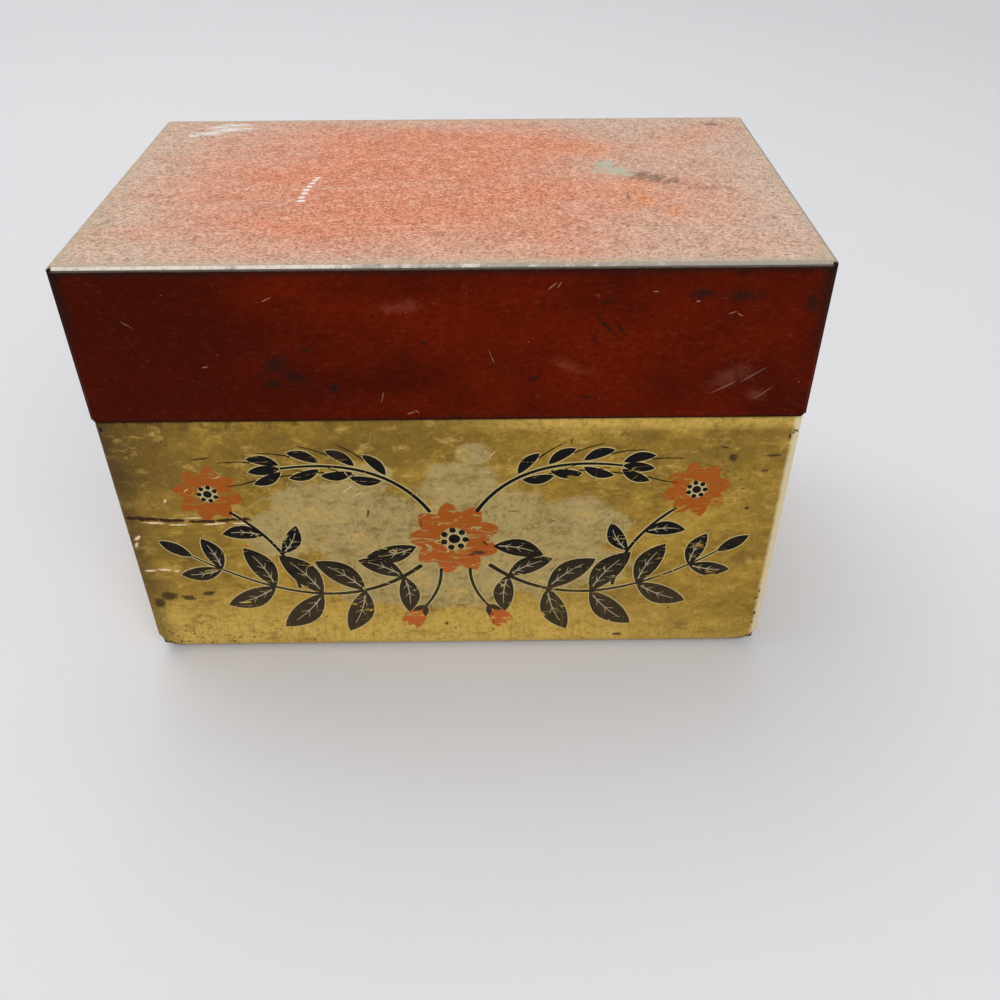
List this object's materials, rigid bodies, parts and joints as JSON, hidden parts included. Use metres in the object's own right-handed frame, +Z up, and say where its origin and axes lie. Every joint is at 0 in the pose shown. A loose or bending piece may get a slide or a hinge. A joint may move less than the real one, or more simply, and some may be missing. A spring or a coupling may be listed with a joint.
{
  "type": "recipe card box",
  "caption": "Folded tinplate box with a hinged box lid and a recessed neck, for storing recipe or index cards upright.",
  "frame": {"origin": "middle of the underside of the box, on the face that it stands on", "axes": "+X to the right seen from the front, +Y towards the hinged back, +Z up"},
  "size_m": [0.1328, 0.0829, 0.0916],
  "materials": {
    "body_enamel": "worn yellow enamel with a printed front",
    "lid_enamel": "worn and faded red enamel",
    "rusty_tin": "tinplate with rust",
    "hinge_steel": "dull stamped steel",
    "bare_steel": "bare steel"
  },
  "bodies": {
    "box": {"body_wrap": "body_enamel", "back_panel": "body_enamel", "base_pan": "rusty_tin", "left_body_leaf": "hinge_steel", "right_body_leaf": "hinge_steel", "left_hinge_pin": "bare_steel", "right_hinge_pin": "bare_steel", "body_leaf_rivets": "bare_steel"},
    "lid": {"lid_shell": "lid_enamel", "left_lid_leaf": "hinge_steel", "right_lid_leaf": "hinge_steel", "lid_leaf_rivets": "bare_steel"}
  },
  "joints": [
    {"name": "lid_hinge", "type": "hinge", "parent": "box", "child": "lid", "pos_m": [0, 0.04145, 0.05985], "axis": [-1, 0, 0], "range_deg": [0, 180]}
  ]
}
